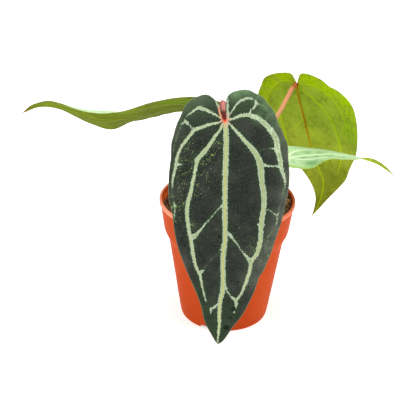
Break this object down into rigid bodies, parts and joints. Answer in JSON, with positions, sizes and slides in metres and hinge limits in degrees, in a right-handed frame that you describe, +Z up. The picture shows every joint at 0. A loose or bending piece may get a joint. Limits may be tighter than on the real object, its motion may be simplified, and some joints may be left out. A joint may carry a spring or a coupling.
{
  "type": "potted anthurium hybrid",
  "caption": "Young velvet-leaved anthurium in a tapered plastic nursery pot: long heart-shaped leaves on slender stalks above dark potting mix.",
  "frame": {"origin": "middle of the pot's base, on the surface it stands on", "axes": "+Z up. +X and -X point to the young leaf's tip and the left leaf's tip, so X is the longest extent. The large dark leaf hangs over the -Y side, which faces the viewer."},
  "size_m": [0.3288, 0.1794, 0.2311],
  "materials": {
    "pot_plastic": "moulded, satin",
    "potting_mix": "granular, with chips of bark and white grains",
    "crown": "papery, matt",
    "stalk": "smooth, waxy",
    "leaf_dark": "velvety, dark green with silver-green veins",
    "leaf_olive": "smooth underside, satin",
    "leaf_mint": "soft, pale green, satin"
  },
  "bodies": {
    "root": {"pot": "pot_plastic", "potting_mix": "potting_mix", "crown": "crown", "stalk_front": "stalk", "stalk_left": "stalk", "stalk_back": "stalk", "stalk_young": "stalk", "blade_front": "leaf_dark", "blade_left": "leaf_olive", "blade_back": "leaf_olive", "blade_young": "leaf_mint"}
  },
  "joints": []
}
